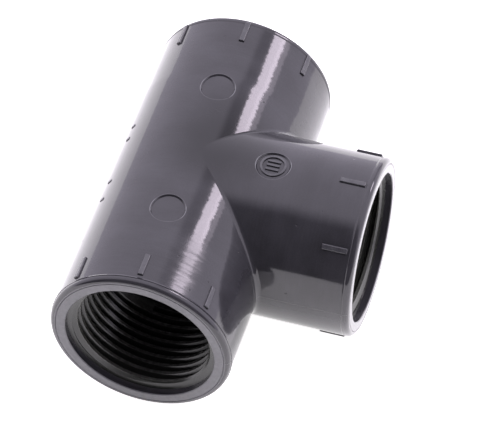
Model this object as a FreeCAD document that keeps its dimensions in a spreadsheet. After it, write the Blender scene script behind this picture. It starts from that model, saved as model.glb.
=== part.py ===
"""Equal tee pipe fitting of moulded PVC with a female pipe thread in each of its three ports.

The run lies along X, the branch points to -Y and +Z is up. The origin is where the axes cross.
Each sub-part is modelled in a port frame, whose +Z runs out of the port from the tee's centre,
and its Placement turns it into the part frame. The moulding is split where its features change:
the centre body, a socket and a threaded lining for each port, and the raised ribs and bars.
"""

import math
import os

import FreeCAD
import Part
import Sketcher

PARTS_FOLDER = "parts"
MATCH = 1e-4
RIM_MATCH = 1e-3
# Which face of a recess's edge the chamfer measures its first distance on.
FLIP_RECESS_SLOPE = False

# Driving dimensions in millimetres: alias, value or formula, meaning.
DIMENSIONS = [
    ("run_radius", "16.75", "outer radius of the run"),
    ("branch_radius", "16.65", "outer radius of the branch, a little under the run's"),
    ("run_reach", "33.2", "centre to either run face"),
    ("branch_reach", "33.8", "centre to the branch face"),
    ("joint_plane", "18.5", "centre to the plane where a socket meets the centre body"),
    ("crotch_round", "1.0", "fillet where the branch meets the run"),
    ("rim_round", "0.9", "round on the outer edge of a face"),
    ("bead_back", "1.5", "face to the far foot of the low bead around the end of a socket"),
    ("bead_crest", "1.25", "face to the crest of that bead"),
    ("bead_front", "1.15", "face to the near foot of that bead"),
    ("bead_height", "0.09", "height of that bead"),
    ("groove_back", "1.0", "outside to the outer edge of the fine groove in a face"),
    ("groove_width", "0.2", "width of that groove"),
    ("groove_depth", "0.12", "depth of that groove"),
    ("mouth_bevel", "0.15", "bevel on the inner edge of a face"),
    ("seat_radius", "13.85", "counterbore radius and outer radius of a threaded lining"),
    ("counterbore_depth", "1.4", "face to the ledge above the thread"),
    ("ledge_radius", "12.65", "inner edge of the sloping ledge"),
    ("ledge_slope", "0.3", "axial length of the sloping ledge"),
    ("lead_in", "0.35", "bevel that leads from the ledge to the thread crests"),
    ("minor_radius", "12.3", "thread crest radius"),
    ("major_radius", "13.22", "thread root radius"),
    ("pitch", "1.814", "thread pitch, fourteen to the inch"),
    ("root_flat", "0.2", "width of the flat at the thread root"),
    ("crest_flat", "0.58", "width of the flat left on a thread crest"),
    ("lining_depth", "19.4", "face to the inner end of a threaded lining"),
    ("groove_end_depth", "17.74", "face to the inner end of the thread groove"),
    ("groove_turns", "9.29", "turns of the thread groove"),
    ("run_waterway", "11.3", "radius of the straight waterway"),
    ("branch_waterway", "11.0", "radius of the branch waterway"),
    ("rib_length", "4.7", "index rib along its port"),
    ("rib_width", "1.0", "index rib around its port"),
    ("rib_height", "0.32", "index rib above the run or branch"),
    ("rib_gap_left", "2.1", "left face to the outer end of a rib"),
    ("rib_gap_right", "1.1", "right face to the outer end of a rib"),
    ("rib_gap_branch", "1.7", "branch face to the outer end of a rib"),
    ("rib_round", "0.16", "round on the top edges of a rib"),
    ("bar_length", "0.5", "plain raised bar along the run"),
    ("bar_width", "1.0", "plain raised bar around the run"),
    ("bar_height", "0.12", "plain raised bar above the run"),
    ("bar_round", "0.05", "round on the top edges of a bar"),
    ("disc_radius", "2.95", "radius of a mould insert recess at its floor"),
    ("disc_depth", "0.28", "depth of a mould insert recess"),
    ("disc_slope_across", "0.22", "sloping edge of a recess, across"),
    ("disc_slope_down", "0.22", "sloping edge of a recess, down"),
    ("disc_offset_left", "15.0", "centre to the middle of the left recess"),
    ("disc_offset_right", "15.3", "centre to the middle of the right recess"),
    ("disc_offset_branch", "15.0", "centre to the middle of the branch recess"),
    ("mark_height", "0.24", "height of the plain ring and bars in the branch recess"),
    ("mark_ring_outer", "2.4", "outer radius of that ring"),
    ("mark_ring_inner", "2.0", "inner radius of that ring"),
    ("mark_bar_half", "1.2", "half length of the bars inside that ring"),
    ("mark_bar_width", "0.4", "width of those bars"),
    ("mark_bar_pitch", "0.95", "distance from one of those bars to the next"),
    ("bead_radius_run", "=run_radius + bead_height", "run radius at the bead"),
    ("bead_radius_branch", "=branch_radius + bead_height", "branch radius at the bead"),
    ("bead_back_run", "=run_reach - bead_back", "run bead, far foot"),
    ("bead_crest_run", "=run_reach - bead_crest", "run bead, crest"),
    ("bead_front_run", "=run_reach - bead_front", "run bead, near foot"),
    ("bead_back_branch", "=branch_reach - bead_back", "branch bead, far foot"),
    ("bead_crest_branch", "=branch_reach - bead_crest", "branch bead, crest"),
    ("bead_front_branch", "=branch_reach - bead_front", "branch bead, near foot"),
    ("groove_outer_run", "=run_radius - groove_back", "run face groove, outer edge"),
    ("groove_middle_run", "=run_radius - groove_back - groove_width / 2", "run face groove, bottom"),
    ("groove_inner_run", "=run_radius - groove_back - groove_width", "run face groove, inner edge"),
    ("groove_floor_run", "=run_reach - groove_depth", "run face groove, bottom along the run"),
    ("groove_outer_branch", "=branch_radius - groove_back", "branch face groove, outer edge"),
    ("groove_middle_branch", "=branch_radius - groove_back - groove_width / 2", "branch face groove, bottom"),
    ("groove_inner_branch", "=branch_radius - groove_back - groove_width", "branch face groove, inner edge"),
    ("groove_floor_branch", "=branch_reach - groove_depth", "branch face groove, bottom along the branch"),
    ("mouth_radius", "=seat_radius + mouth_bevel", "outer edge of the bevel at a mouth"),
    ("mouth_run", "=run_reach - mouth_bevel", "run mouth bevel, inner end"),
    ("mouth_branch", "=branch_reach - mouth_bevel", "branch mouth bevel, inner end"),
    ("lining_inner_run", "=run_reach - lining_depth", "run lining, inner end"),
    ("lining_outer_run", "=run_reach - counterbore_depth", "run lining, outer end"),
    ("ledge_inner_run", "=run_reach - counterbore_depth - ledge_slope", "run ledge, inner end"),
    ("lead_inner_run", "=run_reach - counterbore_depth - ledge_slope - lead_in", "run lead-in bevel, inner end"),
    ("lining_inner_branch", "=branch_reach - lining_depth", "branch lining, inner end"),
    ("lining_outer_branch", "=branch_reach - counterbore_depth", "branch lining, outer end"),
    ("ledge_inner_branch", "=branch_reach - counterbore_depth - ledge_slope", "branch ledge, inner end"),
    ("lead_inner_branch", "=branch_reach - counterbore_depth - ledge_slope - lead_in", "branch lead-in, inner end"),
    ("groove_run", "=run_reach - groove_end_depth", "run thread groove, middle of its inner end"),
    ("groove_branch", "=branch_reach - groove_end_depth", "branch thread groove, same"),
    ("groove_height", "=groove_turns * pitch", "axial travel of the groove"),
    ("groove_mouth", "=pitch - crest_flat", "groove width at the crest radius"),
    ("groove_overcut", "0.3", "how far the groove tool reaches inside the crest radius"),
    ("rib_start_left", "=run_reach - rib_gap_left - rib_length", "left rib, inner end"),
    ("rib_start_right", "=run_reach - rib_gap_right - rib_length", "right rib, inner end"),
    ("rib_start_branch", "=branch_reach - rib_gap_branch - rib_length", "branch rib, inner end"),
    ("branch_foot_height", "=run_radius + rib_height - branch_radius", "lowest branch rib, to rest level"),
    ("run_floor", "=run_radius - disc_depth", "radius of a run recess floor"),
    ("branch_floor", "=branch_radius - disc_depth", "radius of the branch recess floor"),
    ("mark_top", "=branch_radius - disc_depth + mark_height", "radius of the top of the ring and bar"),
]

X = FreeCAD.Vector(1, 0, 0)
Y = FreeCAD.Vector(0, 1, 0)
Z = FreeCAD.Vector(0, 0, 1)

# A port frame's X, Y and Z as seen in the part frame.
PORT_TURNS = {
    "left": FreeCAD.Rotation(Y, Z.negative(), X.negative(), "ZXY"),
    "right": FreeCAD.Rotation(Y, Z, X, "ZXY"),
    "branch": FreeCAD.Rotation(X, Z, Y.negative(), "ZXY"),
}
# Which family of dimensions each port uses.
PORT_FAMILY = {"left": "run", "right": "run", "branch": "branch"}
# Angle about the port's axis at which the thread groove ends inside.
GROOVE_END_ANGLES = {"left": 75.0, "right": -75.0, "branch": -75.0}
# Ribs stand every 45 degrees, except on the parting plane of the mould.
RIB_ANGLES = (45, 90, 135, 225, 270, 315)
DOWNWARD = 270
# The ribs of the right port stand a little turned about the run.
RIB_TWIST = {"left": 0.0, "right": 2.8, "branch": 0.0}
# Plain raised bars on the side of the run away from the branch: distance along X.
BAR_STARTS = (-10.6, -6.1, 4.6, 7.9)
BAR_ANGLE = 33.0
# Plain bars of the branch mark, counted across the branch from its axis.
MARK_BARS = (-1, 0, 1)


def fill_sheet(doc):
    """Write the driving dimensions and their formulas, each under its alias."""
    sheet = doc.addObject("Spreadsheet::Sheet", "Dimensions")
    for row, (alias, content, meaning) in enumerate(DIMENSIONS, start=1):
        sheet.set(f"A{row}", meaning)
        sheet.set(f"B{row}", content)
        sheet.setAlias(f"B{row}", alias)
    doc.recompute()
    return sheet


def value(sheet, alias):
    """A dimension's value in millimetres."""
    return float(sheet.get(alias))


def bind(item, path, alias):
    """Drive one property of an object from the sheet."""
    item.setExpression(path, f"Dimensions.{alias}")


def new_body(doc, label):
    body = doc.addObject("PartDesign::Body", label)
    body.Label = label
    return body


def new_sketch(body, name, plane_role):
    """A sketch on one of the body's own origin planes."""
    sketch = body.newObject("Sketcher::SketchObject", name)
    plane = next(o for o in body.Origin.OriginFeatures if o.Role == plane_role)
    sketch.AttachmentSupport = [(plane, "")]
    sketch.MapMode = "FlatFace"
    return sketch


def origin_axis(body, role):
    return next(o for o in body.Origin.OriginFeatures if o.Role == role)


def draw_polygon(sheet, sketch, corners):
    """A closed outline whose corners are pairs of aliases, each held to its two dimensions."""
    places = [FreeCAD.Vector(value(sheet, a), value(sheet, b), 0) for a, b in corners]
    count = len(places)
    for i in range(count):
        sketch.addGeometry(Part.LineSegment(places[i], places[(i + 1) % count]), False)
    for i in range(count):
        sketch.addConstraint(Sketcher.Constraint("Coincident", i, 2, (i + 1) % count, 1))
    for i, (across, along) in enumerate(corners):
        for kind, alias, size in (("DistanceX", across, places[i].x), ("DistanceY", along, places[i].y)):
            index = sketch.addConstraint(Sketcher.Constraint(kind, -1, 1, i, 1, size))
            bind(sketch, f"Constraints[{index}]", alias)


def draw_circle(sheet, sketch, alias):
    """A circle about the sketch's origin."""
    circle = Part.Circle(FreeCAD.Vector(0, 0, 0), Z, value(sheet, alias))
    sketch.addGeometry(circle, False)
    sketch.addConstraint(Sketcher.Constraint("Coincident", 0, 3, -1, 1))
    index = sketch.addConstraint(Sketcher.Constraint("Radius", 0, value(sheet, alias)))
    bind(sketch, f"Constraints[{index}]", alias)


def revolve(body, name, sketch):
    """Turn a sketch on the XZ plane a full turn about the body's Z axis."""
    feature = body.newObject("PartDesign::Revolution", name)
    feature.Profile = sketch
    feature.ReferenceAxis = (origin_axis(body, "Z_Axis"), [""])
    feature.Angle = 360
    sketch.Visibility = False
    return feature


def circle_edges(shape, radius, height):
    """Names of the circular edges about Z with this radius at this height."""
    names = []
    for number, edge in enumerate(shape.Edges, start=1):
        if edge.Curve.TypeId != "Part::GeomCircle":
            continue
        if abs(edge.Curve.Radius - radius) > MATCH or abs(edge.Curve.Center.z - height) > MATCH:
            continue
        names.append(f"Edge{number}")
    return names


def distance_from_axis(point, direction):
    """How far a point lies from the line through the origin with this unit direction."""
    return point.cross(direction).Length


def recess_rims(sheet, shape):
    """Names of the edges where the wall of a mould insert recess meets the outside."""
    disc = value(sheet, "disc_radius")
    names = []
    for number, edge in enumerate(shape.Edges, start=1):
        samples = [edge.valueAt(t) for t in (edge.FirstParameter, edge.LastParameter)]
        samples.append(edge.valueAt((edge.FirstParameter + edge.LastParameter) / 2))
        for port, family in PORT_FAMILY.items():
            outward = PORT_TURNS[port].multVec(Z)
            middle = outward * value(sheet, f"disc_offset_{port}")
            outer = value(sheet, f"{family}_radius")
            on_wall = all(abs(distance_from_axis(p - middle, Z) - disc) < RIM_MATCH for p in samples)
            on_outside = all(abs(distance_from_axis(p, outward) - outer) < RIM_MATCH for p in samples)
            if on_wall and on_outside:
                names.append(f"Edge{number}")
    return names


def round_edges(body, name, base, edges, alias):
    feature = body.newObject("PartDesign::Fillet", name)
    feature.Base = (base, edges)
    bind(feature, "Radius", alias)
    return feature


def make_socket(doc, sheet, port):
    """Outer wall of one port: a sleeve with a low bead, a round and a finely grooved face."""
    family = PORT_FAMILY[port]
    body = new_body(doc, f"{port}_socket")
    sketch = new_sketch(body, f"{port}_socket_outline", "XZ_Plane")
    corners = [
        ("seat_radius", "joint_plane"),
        (f"{family}_radius", "joint_plane"),
        (f"{family}_radius", f"bead_back_{family}"),
        (f"bead_radius_{family}", f"bead_crest_{family}"),
        (f"{family}_radius", f"bead_front_{family}"),
        (f"{family}_radius", f"{family}_reach"),
        (f"groove_outer_{family}", f"{family}_reach"),
        (f"groove_middle_{family}", f"groove_floor_{family}"),
        (f"groove_inner_{family}", f"{family}_reach"),
        ("mouth_radius", f"{family}_reach"),
        ("seat_radius", f"mouth_{family}"),
    ]
    draw_polygon(sheet, sketch, corners)
    sleeve = revolve(body, f"{port}_sleeve", sketch)
    doc.recompute()
    face = value(sheet, f"{family}_reach")
    rim = circle_edges(sleeve.Shape, value(sheet, f"{family}_radius"), face)
    round_edges(body, f"{port}_rim_round", sleeve, rim, "rim_round")
    body.Placement = FreeCAD.Placement(FreeCAD.Vector(), PORT_TURNS[port])
    return body


def make_thread(doc, sheet, port):
    """Threaded lining of one port: a ring with a sloping ledge and a right-hand helical groove."""
    family = PORT_FAMILY[port]
    body = new_body(doc, f"{port}_thread")
    outline = new_sketch(body, f"{port}_lining_outline", "XZ_Plane")
    corners = [
        ("minor_radius", f"lining_inner_{family}"),
        ("seat_radius", f"lining_inner_{family}"),
        ("seat_radius", f"lining_outer_{family}"),
        ("ledge_radius", f"ledge_inner_{family}"),
        ("minor_radius", f"lead_inner_{family}"),
    ]
    draw_polygon(sheet, outline, corners)
    revolve(body, f"{port}_lining", outline)
    doc.recompute()

    groove = new_sketch(body, f"{port}_groove_outline", "XZ_Plane")
    draw_groove(sheet, groove, f"groove_{family}")
    helix = body.newObject("PartDesign::SubtractiveHelix", f"{port}_groove")
    helix.Profile = groove
    helix.ReferenceAxis = (origin_axis(body, "Z_Axis"), [""])
    helix.Mode = "pitch-height-angle"
    bind(helix, "Pitch", "pitch")
    bind(helix, "Height", "groove_height")
    helix.Angle = 0
    helix.LeftHanded = False
    helix.Reversed = False
    groove.Visibility = False
    turned = FreeCAD.Rotation(Z, GROOVE_END_ANGLES[port])
    body.Placement = FreeCAD.Placement(FreeCAD.Vector(), PORT_TURNS[port] * turned)
    return body


def draw_groove(sheet, sketch, middle):
    """Section of the thread groove: two flanks from a wide mouth to a narrow flat root."""
    crest = value(sheet, "minor_radius")
    root = value(sheet, "major_radius")
    mouth_half = value(sheet, "groove_mouth") / 2
    root_half = value(sheet, "root_flat") / 2
    overcut = value(sheet, "groove_overcut")
    centre = value(sheet, middle)
    flare_half = mouth_half + overcut * (mouth_half - root_half) / (root - crest)
    corners = [
        (crest - overcut, centre - flare_half),
        (root, centre - root_half),
        (root, centre + root_half),
        (crest - overcut, centre + flare_half),
    ]
    places = [FreeCAD.Vector(across, along, 0) for across, along in corners]
    for i in range(4):
        sketch.addGeometry(Part.LineSegment(places[i], places[(i + 1) % 4]), False)
    for i in range(4):
        sketch.addConstraint(Sketcher.Constraint("Coincident", i, 2, (i + 1) % 4, 1))
    sketch.addConstraint(Sketcher.Constraint("Vertical", 1))
    sketch.addConstraint(Sketcher.Constraint("Vertical", 3))
    slope = "(Dimensions.groove_mouth - Dimensions.root_flat) / 2"
    reach = "(Dimensions.major_radius - Dimensions.minor_radius)"
    flare = f"(Dimensions.groove_mouth / 2 + Dimensions.groove_overcut * {slope} / {reach})"
    sizes = [
        ("DistanceX", 0, "Dimensions.minor_radius - Dimensions.groove_overcut", places[0].x),
        ("DistanceY", 0, f"Dimensions.{middle} - {flare}", places[0].y),
        ("DistanceX", 1, "Dimensions.major_radius", places[1].x),
        ("DistanceY", 1, f"Dimensions.{middle} - Dimensions.root_flat / 2", places[1].y),
        ("DistanceY", 2, f"Dimensions.{middle} + Dimensions.root_flat / 2", places[2].y),
        ("DistanceY", 3, f"Dimensions.{middle} + {flare}", places[3].y),
    ]
    for kind, corner, formula, size in sizes:
        index = sketch.addConstraint(Sketcher.Constraint(kind, -1, 1, corner, 1, size))
        sketch.setExpression(f"Constraints[{index}]", formula)


def make_raised_bar(doc, sheet, label, port, angle, base, width, height, start, length, edge_round):
    """A bar that stands on the cylinder of a port, its foot curved to that cylinder.

    base, width, height, length and edge_round are aliases. start is an alias or a plain distance.
    """
    body = new_body(doc, label)
    sketch = new_sketch(body, f"{label}_section", "XY_Plane")
    foot_radius = value(sheet, base)
    half = value(sheet, width) / 2
    top = foot_radius + value(sheet, height)
    foot_angle = math.asin(half / foot_radius)
    foot_x = foot_radius * math.cos(foot_angle)
    foot = Part.ArcOfCircle(Part.Circle(FreeCAD.Vector(0, 0, 0), Z, foot_radius), -foot_angle, foot_angle)
    sketch.addGeometry(foot, False)
    corners = [
        FreeCAD.Vector(foot_x, half, 0),
        FreeCAD.Vector(top, half, 0),
        FreeCAD.Vector(top, -half, 0),
        FreeCAD.Vector(foot_x, -half, 0),
    ]
    for i in range(3):
        sketch.addGeometry(Part.LineSegment(corners[i], corners[i + 1]), False)
    for pair in ((0, 2, 1, 1), (1, 2, 2, 1), (2, 2, 3, 1), (3, 2, 0, 1), (0, 3, -1, 1)):
        sketch.addConstraint(Sketcher.Constraint("Coincident", *pair))
    sketch.addConstraint(Sketcher.Constraint("Horizontal", 1))
    sketch.addConstraint(Sketcher.Constraint("Horizontal", 3))
    sketch.addConstraint(Sketcher.Constraint("Symmetric", 2, 1, 2, 2, -1))
    index = sketch.addConstraint(Sketcher.Constraint("Radius", 0, foot_radius))
    bind(sketch, f"Constraints[{index}]", base)
    index = sketch.addConstraint(Sketcher.Constraint("DistanceY", 2, 2, 2, 1, 2 * half))
    bind(sketch, f"Constraints[{index}]", width)
    index = sketch.addConstraint(Sketcher.Constraint("DistanceX", -1, 1, 2, 1, top))
    sketch.setExpression(f"Constraints[{index}]", f"Dimensions.{base} + Dimensions.{height}")

    pad = body.newObject("PartDesign::Pad", f"{label}_bar")
    pad.Profile = sketch
    bind(pad, "Length", length)
    sketch.Visibility = False
    doc.recompute()
    top_face = [
        f"Face{n}"
        for n, face in enumerate(pad.Shape.Faces, start=1)
        if abs(face.BoundBox.XMin - top) < MATCH
    ]
    round_edges(body, f"{label}_round", pad, top_face, edge_round)
    turned = PORT_TURNS[port] * FreeCAD.Rotation(Z, angle)
    distance = value(sheet, start) if isinstance(start, str) else start
    outward = PORT_TURNS[port].multVec(Z)
    body.Placement = FreeCAD.Placement(outward * distance, turned)
    return body


def make_ribs(doc, sheet, port):
    """Six index ribs around one port."""
    family = PORT_FAMILY[port]
    ribs = []
    for number, angle in enumerate(RIB_ANGLES, start=1):
        rests = family == "branch" and angle == DOWNWARD
        height = "branch_foot_height" if rests else "rib_height"
        ribs.append(make_raised_bar(
            doc, sheet, f"{port}_rib_{number}", port, rib_turn(port, angle), f"{family}_radius",
            "rib_width", height, f"rib_start_{port}", "rib_length", "rib_round",
        ))
    return ribs


def rib_turn(port, angle):
    """The port frame of the left port has its Y axis pointing down, so its angles run the other way."""
    turn = angle + RIB_TWIST[port]
    return -turn if port == "left" else turn


def make_side_bars(doc, sheet):
    """Plain raised bars on the upper side of the run, away from the branch."""
    return [
        make_raised_bar(
            doc, sheet, f"side_bar_{number}", "right", BAR_ANGLE, "run_radius",
            "bar_width", "bar_height", start, "bar_length", "bar_round",
        )
        for number, start in enumerate(BAR_STARTS, start=1)
    ]


def add_cylinder(doc, name, radius, height, placement):
    """A cylinder primitive whose radius and height are aliases."""
    cylinder = doc.addObject("Part::Cylinder", name)
    bind(cylinder, "Radius", radius)
    bind(cylinder, "Height", height)
    cylinder.Placement = placement
    return cylinder


def add_cut(doc, name, base, tool):
    cut = doc.addObject("Part::Cut", name)
    cut.Base = base
    cut.Tool = tool
    return cut


def add_fusion(doc, name, shapes):
    fusion = doc.addObject("Part::MultiFuse", name)
    fusion.Shapes = shapes
    return fusion


def along(port, distance=0.0):
    """A placement whose Z runs out of the port, starting at this distance from the centre."""
    turn = PORT_TURNS[port]
    return FreeCAD.Placement(turn.multVec(Z) * distance, turn)


def make_crossing(doc, sheet):
    """The short run and branch cylinders joined at the centre, with a fillet in the crotch."""
    body = new_body(doc, "crossing")
    run_sketch = new_sketch(body, "run_circle", "YZ_Plane")
    draw_circle(sheet, run_sketch, "run_radius")
    run_pad = body.newObject("PartDesign::Pad", "run_pad")
    run_pad.Profile = run_sketch
    run_pad.Midplane = True
    run_pad.setExpression("Length", "2 * Dimensions.joint_plane")
    run_sketch.Visibility = False
    doc.recompute()

    branch_sketch = new_sketch(body, "branch_circle", "XZ_Plane")
    draw_circle(sheet, branch_sketch, "branch_radius")
    branch_pad = body.newObject("PartDesign::Pad", "branch_pad")
    branch_pad.Profile = branch_sketch
    bind(branch_pad, "Length", "joint_plane")
    branch_sketch.Visibility = False
    doc.recompute()
    if branch_pad.Shape.BoundBox.YMin > -value(sheet, "joint_plane") + MATCH:
        branch_pad.Reversed = True
        doc.recompute()

    plain = ("Part::GeomCircle", "Part::GeomLine")
    crotch = [
        f"Edge{n}"
        for n, edge in enumerate(branch_pad.Shape.Edges, start=1)
        if edge.Curve.TypeId not in plain
    ]
    round_edges(body, "crotch_fillet", branch_pad, crotch, "crotch_round")
    doc.recompute()
    return body


def upright_at_recess(sheet, port):
    """A placement on the port's axis under its recess, with Z up."""
    middle = PORT_TURNS[port].multVec(Z) * value(sheet, f"disc_offset_{port}")
    return FreeCAD.Placement(middle, FreeCAD.Rotation())


def recess_tool(doc, sheet, name, port, floor):
    """What a round mould insert removes: a disc down to a floor that follows the cylinder."""
    upright = upright_at_recess(sheet, port)
    disc = add_cylinder(doc, f"{name}_disc", "disc_radius", "run_radius", upright)
    disc.setExpression("Height", "2 * Dimensions.run_radius")
    core = add_cylinder(doc, f"{name}_core", floor, "joint_plane", along(port))
    core.setExpression("Height", "2 * Dimensions.joint_plane")
    return add_cut(doc, name, disc, core)


def make_centre_body(doc, sheet):
    """Middle of the tee: the crossing, less its waterways, lining seats and insert recesses."""
    crossing = make_crossing(doc, sheet)
    tools = []
    through = along("right", -value(sheet, "run_reach"))
    run_water = add_cylinder(doc, "run_water", "run_waterway", "run_reach", through)
    run_water.setExpression("Height", "2 * Dimensions.run_reach")
    tools.append(run_water)
    tools.append(add_cylinder(doc, "branch_water", "branch_waterway", "branch_reach", along("branch")))
    for port, family in PORT_FAMILY.items():
        start = value(sheet, f"lining_inner_{family}")
        tools.append(add_cylinder(doc, f"{port}_seat", "seat_radius", "lining_depth", along(port, start)))
    for port, family in PORT_FAMILY.items():
        tools.append(recess_tool(doc, sheet, f"{port}_recess", port, f"{family}_floor"))
    hollow = add_fusion(doc, "hollow", tools)
    hollowed = add_cut(doc, "hollowed_crossing", crossing, hollow)
    doc.recompute()

    body = new_body(doc, "centre_body")
    body.BaseFeature = hollowed
    doc.recompute()
    slope = body.newObject("PartDesign::Chamfer", "recess_slope")
    slope.Base = (body.Group[0], recess_rims(sheet, hollowed.Shape))
    slope.ChamferType = "Two distances"
    slope.FlipDirection = FLIP_RECESS_SLOPE
    bind(slope, "Size", "disc_slope_across")
    bind(slope, "Size2", "disc_slope_down")
    return body


def make_branch_mark(doc, sheet):
    """A plain ring with three bars inside it, all standing on the floor of the branch recess."""
    upright = upright_at_recess(sheet, "branch")
    ring_outer = add_cylinder(doc, "mark_outer", "mark_ring_outer", "run_radius", upright)
    ring_inner = add_cylinder(doc, "mark_inner", "mark_ring_inner", "run_radius", upright)
    columns = {"branch_mark_ring": add_cut(doc, "mark_ring_column", ring_outer, ring_inner)}
    for number, place in enumerate(MARK_BARS, start=1):
        bar = doc.addObject("Part::Box", f"mark_bar_column_{number}")
        bind(bar, "Length", "mark_bar_width")
        bar.setExpression("Width", "2 * Dimensions.mark_bar_half")
        bind(bar, "Height", "run_radius")
        across = place * value(sheet, "mark_bar_pitch") - value(sheet, "mark_bar_width") / 2
        corner = FreeCAD.Vector(across, -value(sheet, "mark_bar_half"), 0)
        bar.Placement = FreeCAD.Placement(upright.Base + corner, FreeCAD.Rotation())
        columns[f"branch_mark_bar_{number}"] = bar

    top = add_cylinder(doc, "mark_top_limit", "mark_top", "joint_plane", along("branch"))
    floor = add_cylinder(doc, "mark_floor_limit", "branch_floor", "joint_plane", along("branch"))
    shell = add_cut(doc, "mark_shell", top, floor)
    marks = []
    for name, column in columns.items():
        mark = doc.addObject("Part::MultiCommon", name)
        mark.Label = name
        mark.Shapes = [shell, column]
        marks.append(mark)
    return marks


def check(doc):
    """Stop if any object failed to compute or made a bad shape."""
    for item in doc.Objects:
        if "Invalid" in item.State or "Error" in item.State:
            raise RuntimeError(f"{item.Name} is in state {item.State}")
        if not item.isDerivedFrom("Part::Feature"):
            continue
        if item.Shape.isNull() or not item.Shape.isValid():
            raise RuntimeError(f"{item.Name} has a bad shape")


def main():
    doc = FreeCAD.newDocument("tee")
    sheet = fill_sheet(doc)
    nodes = [make_centre_body(doc, sheet)]
    for port in PORT_TURNS:
        nodes.append(make_socket(doc, sheet, port))
        nodes.append(make_thread(doc, sheet, port))
        nodes.extend(make_ribs(doc, sheet, port))
    nodes.extend(make_side_bars(doc, sheet))
    nodes.extend(make_branch_mark(doc, sheet))
    doc.recompute()
    check(doc)
    os.makedirs(PARTS_FOLDER, exist_ok=True)
    for node in nodes:
        node.Shape.exportStep(os.path.join(PARTS_FOLDER, f"{node.Label}.step"))
        box = node.Shape.BoundBox
        print(f"{node.Label}: volume {node.Shape.Volume:.2f}, {len(node.Shape.Solids)} solid(s), size "
              f"{box.XLength:.2f} x {box.YLength:.2f} x {box.ZLength:.2f}")


main()
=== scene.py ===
"""Studio scene for a dark grey moulded PVC tee with a female pipe thread in each port.

The run lies along X, the branch points along -Y and +Z is up. Lengths are in metres, except that
the materials measure the moulding in millimetres.
"""
import math

import bpy
from mathutils import Matrix, Vector

# Sizes of the moulding that its finish depends on, in millimetres.
RUN_RADIUS = 16.75
BRANCH_RADIUS = 16.65
RUN_REACH = 33.2
BRANCH_REACH = 33.8
RIB_HEIGHT = 0.32
CREST_RADIUS = 12.3
MM = 0.001

# The camera looks at a point on the branch's axis, just off the crossing.
LOOK_AT = Vector((0.0, -0.0087, 0.0))
CAMERA_DISTANCE = 0.6387
CAMERA_AZIMUTH = math.radians(-72.97)
CAMERA_ELEVATION = math.radians(49.43)
CAMERA_ROLL = math.radians(-0.43)
CAMERA_LENS_MM = 262.6

# Brightness of the studio, where 1 is the brightest tone that a picture shows.
FLOOR_RADIUS = 0.45
FLOOR_GLOW = 1.0
TENT_BRIGHTNESS = 1.5
TENT_COLOUR = (1.03, 0.965, 1.13, 1.0)
DARK_SIDE_BRIGHTNESS = 0.06
BACKDROP_BRIGHTNESS = 0.93

# Softboxes: where each stands as seen from the tee, its width, its length and its power in watts.
STREAK_LAMP = (Vector((0.634, -0.409, 0.657)), 0.25, 0.30, 2.25)
SHOULDER_LAMP = (Vector((0.634, -0.505, 0.585)), 0.20, 0.30, 0.33)
LAMP_COLOUR = (1.0, 0.88, 1.02)
LAMP_DISTANCE = 1.2
FILL_TOWARDS = Vector((0.35, -0.2, 0.9))
FILL_WATTS = 11.0
FILL_SIDE = 1.4

# The moulding is one plastic. These tones were chosen zone by zone so that a picture looks right.
PVC_COLOUR = (0.027, 0.026, 0.030, 1.0)
PVC_PALE = (0.040, 0.039, 0.045, 1.0)
# Painted reflection: the port faces are painted paler than the skin for the floor light that they
# reflect.
FACE_COLOUR = (0.135, 0.133, 0.143, 1.0)
FACE_DARK = (0.085, 0.084, 0.092, 1.0)
BRANCH_FACE_COLOUR = (0.10, 0.098, 0.106, 1.0)
# Painted highlight: the ribs are painted paler than the skin.
RIB_COLOUR = (0.070, 0.069, 0.075, 1.0)
THREAD_COLOUR = (0.022, 0.023, 0.020, 1.0)
# Painted highlight on the thread crests.
CREST_COLOUR = (0.085, 0.086, 0.078, 1.0)
# The dark of the pits, also used for the painted shade on the crown.
PIT_AND_PAINTED_SHADE_COLOUR = (0.006, 0.006, 0.007, 1.0)
# Painted highlight on the rims of the insert recesses.
RIM_HIGHLIGHT_COLOUR = (0.16, 0.16, 0.17, 1.0)
# Painted highlight: the side bars are painted pale.
BAR_COLOUR = (0.22, 0.22, 0.23, 1.0)
FLOOR_DARK = (0.84, 0.83, 0.83, 1.0)
FLOOR_LIGHT = (0.88, 0.87, 0.87, 1.0)
FLOOR_GLOW_COLOUR = (1.0, 0.985, 0.985, 1.0)
WHITE = (1.0, 1.0, 1.0, 1.0)
GLOSS_IOR = 1.52

# Centres of the insert recesses seen from above, the radius of their rims, and the centre of the patch
# of painted shade.
RECESSES = ((-15.0, 0.0), (15.3, 0.0), (0.0, -15.0))
RECESS_RIM = 3.17
PAINTED_SHADE_CENTRE = (3.0, -4.5)

# Reliefs drawn by the materials, in millimetres.
SKIN_RELIEF = 0.05
THREAD_RELIEF = 0.012
RAISED_RELIEF = 0.02
# How far apart the branch's part of the unrolled skin lies, so that its noise doesn't repeat the run's.
BRANCH_OFFSET = 50.0
FLOOR_SIDES = 96
FLOOR_GRAIN = 300.0


def direction(azimuth, elevation):
    """Unit vector towards a camera at that azimuth and elevation. Azimuth 0 stands at -Y."""
    level = math.cos(elevation)
    return Vector((math.sin(azimuth) * level, -math.cos(azimuth) * level, math.sin(elevation)))


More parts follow.
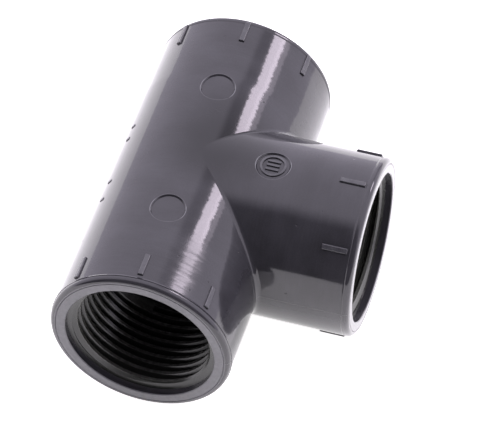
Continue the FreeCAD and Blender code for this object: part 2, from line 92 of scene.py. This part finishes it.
class Graph:
    """The nodes of one material or world, wired up by short calls.

    Every value may be another node's output socket or a plain number or tuple.
    """

    def __init__(self, tree):
        self.tree = tree

    def node(self, kind, **properties):
        node = self.tree.nodes.new(kind)
        for name, value in properties.items():
            setattr(node, name, value)
        return node

    def feed(self, socket, value):
        if isinstance(value, bpy.types.NodeSocket):
            self.tree.links.new(value, socket)
        else:
            socket.default_value = value

    def call(self, node, values, output=0):
        for socket, value in zip(node.inputs, values):
            self.feed(socket, value)
        return node.outputs[output]

    def math(self, operation, *values):
        return self.call(self.node("ShaderNodeMath", operation=operation), values)

    def vector(self, operation, *values):
        return self.call(self.node("ShaderNodeVectorMath", operation=operation), values)

    def scale(self, vector, factor):
        node = self.node("ShaderNodeVectorMath", operation="SCALE")
        self.feed(node.inputs[0], vector)
        self.feed(node.inputs["Scale"], factor)
        return node.outputs[0]

    def combine(self, x, y, z):
        return self.call(self.node("ShaderNodeCombineXYZ"), (x, y, z))

    def separate(self, vector):
        node = self.node("ShaderNodeSeparateXYZ")
        self.feed(node.inputs[0], vector)
        return node.outputs

    def step(self, value, low, high, out_low=0.0, out_high=1.0):
        """A smooth ramp between two values. low may be the larger one."""
        if low > high:
            low, high, out_low, out_high = high, low, out_high, out_low
        node = self.node("ShaderNodeMapRange", interpolation_type="SMOOTHSTEP")
        return self.call(node, (value, low, high, out_low, out_high))

    def band(self, value, low, high, soft):
        """1 between two values and 0 outside them, with soft edges."""
        rise = self.step(value, low - soft, low + soft)
        fall = self.step(value, high + soft, high - soft)
        return self.math("MULTIPLY", rise, fall)

    def blend(self, factor, first, second):
        """A number part of the way from first to second."""
        node = self.node("ShaderNodeMix", data_type="FLOAT")
        return self.mix(node, factor, first, second, 2, 0)

    def blend_colour(self, factor, first, second):
        """A colour part of the way from first to second."""
        node = self.node("ShaderNodeMix", data_type="RGBA")
        return self.mix(node, factor, first, second, 6, 2)

    def mix(self, node, factor, first, second, start, output):
        """Feeds a Mix node, whose sockets for its kind of data start at a number of their own."""
        self.feed(node.inputs[0], factor)
        self.feed(node.inputs[start], first)
        self.feed(node.inputs[start + 1], second)
        return node.outputs[output]

    def noise(self, place, stretch, detail=2.0):
        """Cloudy noise about 0, with its own frequency (cycles per unit) on each axis."""
        node = self.node("ShaderNodeTexNoise", noise_dimensions="3D")
        self.feed(node.inputs["Vector"], self.vector("MULTIPLY", place, stretch))
        node.inputs["Scale"].default_value = 1.0
        node.inputs["Detail"].default_value = detail
        return self.math("SUBTRACT", node.outputs[0], 0.5)


def object_place(graph):
    """A point's place in the tee's own frame, in millimetres."""
    place = graph.node("ShaderNodeTexCoord").outputs["Object"]
    return graph.scale(place, 1.0 / MM)


def radius_about(graph, first, second):
    """Distance from an axis, from the two coordinates across it."""
    squares = [graph.math("MULTIPLY", value, value) for value in (first, second)]
    return graph.math("SQRT", graph.math("ADD", *squares))


def unrolled(graph, place):
    """The outer skin unrolled: a place (along, around, arm) in millimetres, and how far it is branch.

    Around is measured from +Y on the run and from +X on the branch, towards +Z.
    """
    x, y, z = graph.separate(place)
    on_branch = graph.step(radius_about(graph, y, z), RUN_RADIUS + 0.2, RUN_RADIUS + 0.8)
    along = graph.blend(on_branch, x, y)
    run_turn = graph.math("ARCTAN2", z, y)
    branch_turn = graph.math("ARCTAN2", z, x)
    turn = graph.blend(on_branch, run_turn, branch_turn)
    around = graph.math("MULTIPLY", turn, RUN_RADIUS)
    arm = graph.math("MULTIPLY", on_branch, BRANCH_OFFSET)
    return graph.combine(along, around, arm), along, graph.math("DEGREES", turn), on_branch


def tilted_normal(graph, on_branch, around_tilt, along_tilt):
    """The surface's normal, tipped by small slopes around and along its own cylinder."""
    normal = graph.node("ShaderNodeNewGeometry").outputs["Normal"]
    axis = graph.combine(graph.math("SUBTRACT", 1.0, on_branch), on_branch, 0.0)
    around = graph.vector("CROSS_PRODUCT", axis, normal)
    tipped = graph.vector("ADD", normal, graph.scale(around, around_tilt))
    tipped = graph.vector("ADD", tipped, graph.scale(axis, along_tilt))
    return graph.vector("NORMALIZE", tipped)


def new_material(name):
    material = bpy.data.materials.new(name)
    material.use_nodes = True
    graph = Graph(material.node_tree)
    shader = material.node_tree.nodes["Principled BSDF"]
    shader.inputs["IOR"].default_value = GLOSS_IOR
    return material, graph, shader


def add_bump(graph, height, depth_mm, normal=None):
    """A bump whose height socket runs over about 0 to 1 for that depth."""
    bump = graph.node("ShaderNodeBump")
    bump.inputs["Strength"].default_value = 1.0
    bump.inputs["Distance"].default_value = depth_mm * MM
    graph.feed(bump.inputs["Height"], height)
    if normal is not None:
        graph.feed(bump.inputs["Normal"], normal)
    return bump.outputs["Normal"]


def total(graph, *terms):
    """Sum of sockets or numbers, or of (factor, socket) pairs."""
    result = None
    for term in terms:
        if isinstance(term, tuple):
            term = graph.math("MULTIPLY", *term)
        result = term if result is None else graph.math("ADD", result, term)
    return result


def make_skin():
    """The glossy outer skin: fine lines, ripples, pits, painted highlights on the recess rims, painted
    paler port faces and a patch of painted shade.
    """
    material, graph, shader = new_material("moulded_pvc")
    place = object_place(graph)
    x, y, z = graph.separate(place)
    skin, along, turn, on_branch = unrolled(graph, place)
    on_run = graph.math("SUBTRACT", 1.0, on_branch)

    # Fine lines run around the skin. They are coarser on the crown by the left port.
    left_end = graph.math("MULTIPLY", on_run, graph.step(along, -17.0, -22.0))
    crown = graph.band(turn, 100.0, 126.0, 3.0)
    rough_crown = graph.math("MULTIPLY", left_end, crown)
    lines = graph.noise(skin, (3.2, 0.16, 1.0), 2.0)
    fine_lines = graph.noise(skin, (9.0, 0.5, 1.0), 1.0)
    ragged = graph.noise(skin, (1.5, 0.3, 1.0), 3.0)
    wave = graph.noise(skin, (0.12, 0.10, 1.0), 1.0)
    peel = graph.noise(skin, (0.55, 0.55, 1.0), 1.0)

    # The normal is tipped a little further past the right joint, where the highlight jogs. The
    # lower side of the highlight is more ragged than its upper side.
    right_turn = graph.math("MULTIPLY", on_run, graph.step(along, 17.6, 19.0, -0.012, -0.034))
    ragged_side = graph.math("MULTIPLY", on_run, graph.step(turn, 108.0, 113.0))
    ragged_share = total(graph, 0.008, (0.07, rough_crown), (0.055, ragged_side))
    around_tilt = total(
        graph, right_turn, (ragged_share, ragged), (0.022, wave), (0.008, peel),
    )
    line_share = total(graph, 0.012, (0.16, rough_crown))
    along_tilt = total(graph, (line_share, lines), (0.02, fine_lines), (0.02, wave), (0.010, peel))
    normal = tilted_normal(graph, on_branch, around_tilt, along_tilt)

    # Small pits, thickest by the left port.
    cells = graph.node("ShaderNodeTexVoronoi", feature="F1")
    graph.feed(cells.inputs["Vector"], graph.vector("MULTIPLY", skin, (0.5, 0.5, 1.0)))
    cells.inputs["Scale"].default_value = 1.0
    kept = graph.math("GREATER_THAN", graph.separate(cells.outputs["Color"])[0],
                      graph.blend(rough_crown, 0.93, 0.45))
    pit = graph.math("MULTIPLY", kept, graph.step(cells.outputs["Distance"], 0.11, 0.04))

    # A faint witness line where the halves of the mould meet.
    parting = graph.step(graph.math("ABSOLUTE", z), 0.10, 0.02)

    # The port faces are duller than the skin, and painted paler as a painted reflection of the bright
    # floor.
    at_run_end = graph.step(graph.math("ABSOLUTE", x), RUN_REACH - 0.2, RUN_REACH - 0.1)
    inside_run = graph.step(radius_about(graph, y, z), RUN_RADIUS - 0.7, RUN_RADIUS - 0.95)
    run_face = graph.math("MULTIPLY", at_run_end, inside_run)
    at_branch_end = graph.step(y, -BRANCH_REACH + 0.2, -BRANCH_REACH + 0.1)
    inside_branch = graph.step(radius_about(graph, x, z), BRANCH_RADIUS - 0.7, BRANCH_RADIUS - 0.95)
    branch_face = graph.math("MULTIPLY", at_branch_end, inside_branch)
    face = graph.math("MAXIMUM", run_face, branch_face)
    face_marks = graph.noise(place, (1.2, 1.2, 1.2), 3.0)

    # Painted highlight: the rims of the three insert recesses are painted pale, most of all at their +Y
    # and -Y sides.
    painted_rim_highlight = 0.0
    for centre_x, centre_y in RECESSES:
        from_x = graph.math("SUBTRACT", x, centre_x)
        from_y = graph.math("SUBTRACT", y, centre_y)
        from_centre = radius_about(graph, from_x, from_y)
        ring = graph.band(from_centre, RECESS_RIM - 0.02, RECESS_RIM + 0.10, 0.06)
        side = graph.math("DIVIDE", graph.math("ABSOLUTE", from_y), from_centre)
        painted_highlight = total(graph, 0.30, (0.7, graph.step(side, 0.80, 0.97)))
        painted_rim_highlight = graph.math("ADD", painted_rim_highlight, graph.math("MULTIPLY", ring, painted_highlight))
    painted_rim_highlight = graph.math("MULTIPLY", painted_rim_highlight, graph.step(z, 0.0, 1.0))

    # Painted shade: a soft darker patch is painted on the crown beside the crossing.
    to_middle = graph.math("SUBTRACT", x, PAINTED_SHADE_CENTRE[0])
    from_crown = graph.math("SUBTRACT", y, PAINTED_SHADE_CENTRE[1])
    painted_shade_patch = graph.step(radius_about(graph, to_middle, from_crown), 14.0, 3.0)
    painted_shade_patch = graph.math("MULTIPLY", painted_shade_patch, graph.step(z, 6.0, 10.0))

    mottle = graph.noise(skin, (0.20, 0.12, 1.0), 3.0)
    grain = graph.noise(skin, (4.0, 4.0, 1.0), 1.0)
    shade = total(graph, 0.35, (2.2, mottle), (0.8, grain), (0.5, lines))
    colour = graph.blend_colour(shade, PVC_COLOUR, PVC_PALE)
    # Painted shade on the crown beside the crossing.
    colour = graph.blend_colour(graph.math("MULTIPLY", painted_shade_patch, 0.85), colour, PIT_AND_PAINTED_SHADE_COLOUR)
    # Painted highlight on the recess rims.
    colour = graph.blend_colour(painted_rim_highlight, colour, RIM_HIGHLIGHT_COLOUR)
    colour = graph.blend_colour(graph.math("MULTIPLY", pit, 0.85), colour, PIT_AND_PAINTED_SHADE_COLOUR)
    face_shade = graph.blend_colour(total(graph, 0.35, (1.6, face_marks)), FACE_COLOUR, FACE_DARK)
    # Painted reflection on the port faces.
    colour = graph.blend_colour(run_face, colour, face_shade)
    colour = graph.blend_colour(branch_face, colour, BRANCH_FACE_COLOUR)
    graph.feed(shader.inputs["Base Color"], colour)

    roughness = total(graph, 0.095, (0.09, mottle), (0.06, grain), (0.08, rough_crown), (0.30, run_face),
                      (0.10, branch_face), (0.3, pit))
    graph.feed(shader.inputs["Roughness"], roughness)
    relief = total(graph, (0.5, parting), (-1.0, pit), (0.25, graph.math("MULTIPLY", face, face_marks)))
    graph.feed(shader.inputs["Normal"], add_bump(graph, relief, SKIN_RELIEF, normal))
    return material


def make_thread_finish():
    """The threads: a little duller than the skin, with a painted highlight on the crests."""
    material, graph, shader = new_material("threaded_pvc")
    place = object_place(graph)
    x, y, z = graph.separate(place)
    on_branch = graph.step(y, -14.0, -14.4)
    across = graph.blend(on_branch, y, x)
    radius = radius_about(graph, across, z)
    crest = graph.step(radius, CREST_RADIUS + 0.15, CREST_RADIUS + 0.02)
    scuff = graph.noise(place, (1.5, 1.5, 1.5), 3.0)
    fine = graph.noise(place, (7.0, 7.0, 7.0), 2.0)
    # Painted highlight: the crests are painted paler.
    painted_highlight = graph.math("MULTIPLY", crest, total(graph, 0.7, (1.5, scuff)))
    graph.feed(shader.inputs["Base Color"], graph.blend_colour(painted_highlight, THREAD_COLOUR, CREST_COLOUR))
    graph.feed(shader.inputs["Roughness"], total(graph, 0.23, (0.12, scuff), (0.06, fine)))
    relief = total(graph, (0.6, scuff), (0.4, fine))
    graph.feed(shader.inputs["Normal"], add_bump(graph, relief, THREAD_RELIEF))
    return material


def make_raised_finish(name, painted_light_colour, roughness):
    """Ribs or bars: mottled, and painted paler than the skin as a painted highlight."""
    material, graph, shader = new_material(name)
    place = object_place(graph)
    cloud = graph.noise(place, (0.9, 0.9, 0.9), 2.0)
    fine = graph.noise(place, (5.0, 5.0, 5.0), 2.0)
    shade = total(graph, 0.5, (1.6, cloud), (0.8, fine))
    graph.feed(shader.inputs["Base Color"], graph.blend_colour(shade, PVC_PALE, painted_light_colour))
    graph.feed(shader.inputs["Roughness"], total(graph, roughness, (0.2, cloud), (0.1, fine)))
    relief = total(graph, (0.5, cloud), (0.5, fine))
    graph.feed(shader.inputs["Normal"], add_bump(graph, relief, RAISED_RELIEF))
    return material


def make_floor():
    """A round, plain white table under the tee."""
    height = -(RUN_RADIUS + RIB_HEIGHT) * MM
    angles = [math.tau * i / FLOOR_SIDES for i in range(FLOOR_SIDES)]
    rim = [(FLOOR_RADIUS * math.cos(a), FLOOR_RADIUS * math.sin(a), height) for a in angles]
    mesh = bpy.data.meshes.new("floor")
    mesh.from_pydata(rim, [], [tuple(range(FLOOR_SIDES))])
    floor = bpy.data.objects.new("floor", mesh)
    bpy.context.scene.collection.objects.link(floor)
    material, graph, shader = new_material("floor_white")
    place = graph.node("ShaderNodeTexCoord").outputs["Object"]
    grain = graph.noise(place, (FLOOR_GRAIN, FLOOR_GRAIN, FLOOR_GRAIN), 2.0)
    colour = graph.blend_colour(total(graph, 0.5, grain), FLOOR_DARK, FLOOR_LIGHT)
    graph.feed(shader.inputs["Base Color"], colour)
    shader.inputs["Roughness"].default_value = 0.7
    shader.inputs["Emission Color"].default_value = FLOOR_GLOW_COLOUR
    shader.inputs["Emission Strength"].default_value = FLOOR_GLOW
    mesh.materials.append(material)


def make_world():
    """A light tent: bright overhead and on the +X side, dark on the -X side."""
    world = bpy.data.worlds.new("studio")
    bpy.context.scene.world = world
    world.use_nodes = True
    world.node_tree.nodes.clear()
    graph = Graph(world.node_tree)
    x, y, z = graph.separate(graph.node("ShaderNodeTexCoord").outputs["Generated"])
    open_side = graph.step(x, -0.45, -0.1)
    lamp_shade = graph.math("MULTIPLY", graph.band(y, -0.30, -0.10, 0.06), graph.step(x, 0.3, 0.5))
    brightness = total(graph, TENT_BRIGHTNESS, (-0.75, lamp_shade))
    tent = graph.blend(open_side, DARK_SIDE_BRIGHTNESS, brightness)
    path = graph.node("ShaderNodeLightPath")
    strength = graph.blend(path.outputs["Is Camera Ray"], tent, BACKDROP_BRIGHTNESS)
    colour = graph.blend_colour(path.outputs["Is Camera Ray"], TENT_COLOUR, WHITE)
    background = graph.node("ShaderNodeBackground")
    graph.feed(background.inputs["Color"], colour)
    graph.feed(background.inputs["Strength"], strength)
    output = graph.node("ShaderNodeOutputWorld")
    graph.feed(output.inputs["Surface"], background.outputs[0])


def add_lamp(name, towards, width, length, watts, colour, glossy=True):
    """An area light that faces the tee, with its length along X as far as it can be."""
    light = bpy.data.lights.new(name, "AREA")
    light.shape = "RECTANGLE"
    light.size = length
    light.size_y = width
    light.energy = watts
    light.color = colour
    lamp = bpy.data.objects.new(name, light)
    back = towards.normalized()
    side = Vector((1.0, 0.0, 0.0))
    side = (side - back * side.dot(back)).normalized()
    up = back.cross(side)
    turn = Matrix((side, up, back)).transposed().to_4x4()
    lamp.matrix_world = Matrix.Translation(back * LAMP_DISTANCE) @ turn
    lamp.visible_camera = False
    lamp.visible_glossy = glossy
    bpy.context.scene.collection.objects.link(lamp)


def make_lamps():
    """Two softboxes, whose reflections are the streak along the run and its dimmer edge, and a fill."""
    for name, (towards, width, length, watts) in (("streak", STREAK_LAMP), ("shoulder", SHOULDER_LAMP)):
        add_lamp(name, towards, width, length, watts, LAMP_COLOUR)
    add_lamp("fill", FILL_TOWARDS, FILL_SIDE, FILL_SIDE, FILL_WATTS, WHITE[:3], glossy=False)


def make_camera():
    """A long lens above the near left of the tee."""
    data = bpy.data.cameras.new("camera")
    data.lens = CAMERA_LENS_MM
    data.clip_end = 20.0
    camera = bpy.data.objects.new("camera", data)
    back = direction(CAMERA_AZIMUTH, CAMERA_ELEVATION)
    turn = back.to_track_quat("Z", "Y").to_matrix().to_4x4() @ Matrix.Rotation(CAMERA_ROLL, 4, "Z")
    camera.matrix_world = Matrix.Translation(LOOK_AT + back * CAMERA_DISTANCE) @ turn
    bpy.context.scene.collection.objects.link(camera)
    bpy.context.scene.camera = camera


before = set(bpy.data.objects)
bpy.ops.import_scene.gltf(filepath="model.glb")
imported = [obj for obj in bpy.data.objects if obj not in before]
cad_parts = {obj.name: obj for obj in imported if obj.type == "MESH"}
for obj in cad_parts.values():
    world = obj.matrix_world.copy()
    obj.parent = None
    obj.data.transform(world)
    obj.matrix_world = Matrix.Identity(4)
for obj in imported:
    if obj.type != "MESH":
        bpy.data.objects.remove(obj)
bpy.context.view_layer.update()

bpy.context.scene.view_settings.view_transform = "Standard"
make_camera()
make_world()
make_lamps()
make_floor()

skin = make_skin()
thread_finish = make_thread_finish()
# Ribs: painted paler, a painted highlight.
rib_finish = make_raised_finish("raised_pvc", RIB_COLOUR, 0.22)
# Side bars: painted pale, a painted highlight.
bar_finish = make_raised_finish("painted_highlight_pvc", BAR_COLOUR, 0.5)
for name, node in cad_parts.items():
    finish = skin
    if name.endswith("_thread"):
        finish = thread_finish
    elif name.startswith("side_bar"):
        finish = bar_finish
    elif "_rib_" in name or name.startswith("branch_mark"):
        finish = rib_finish
    for slot in node.material_slots:
        slot.material = finish
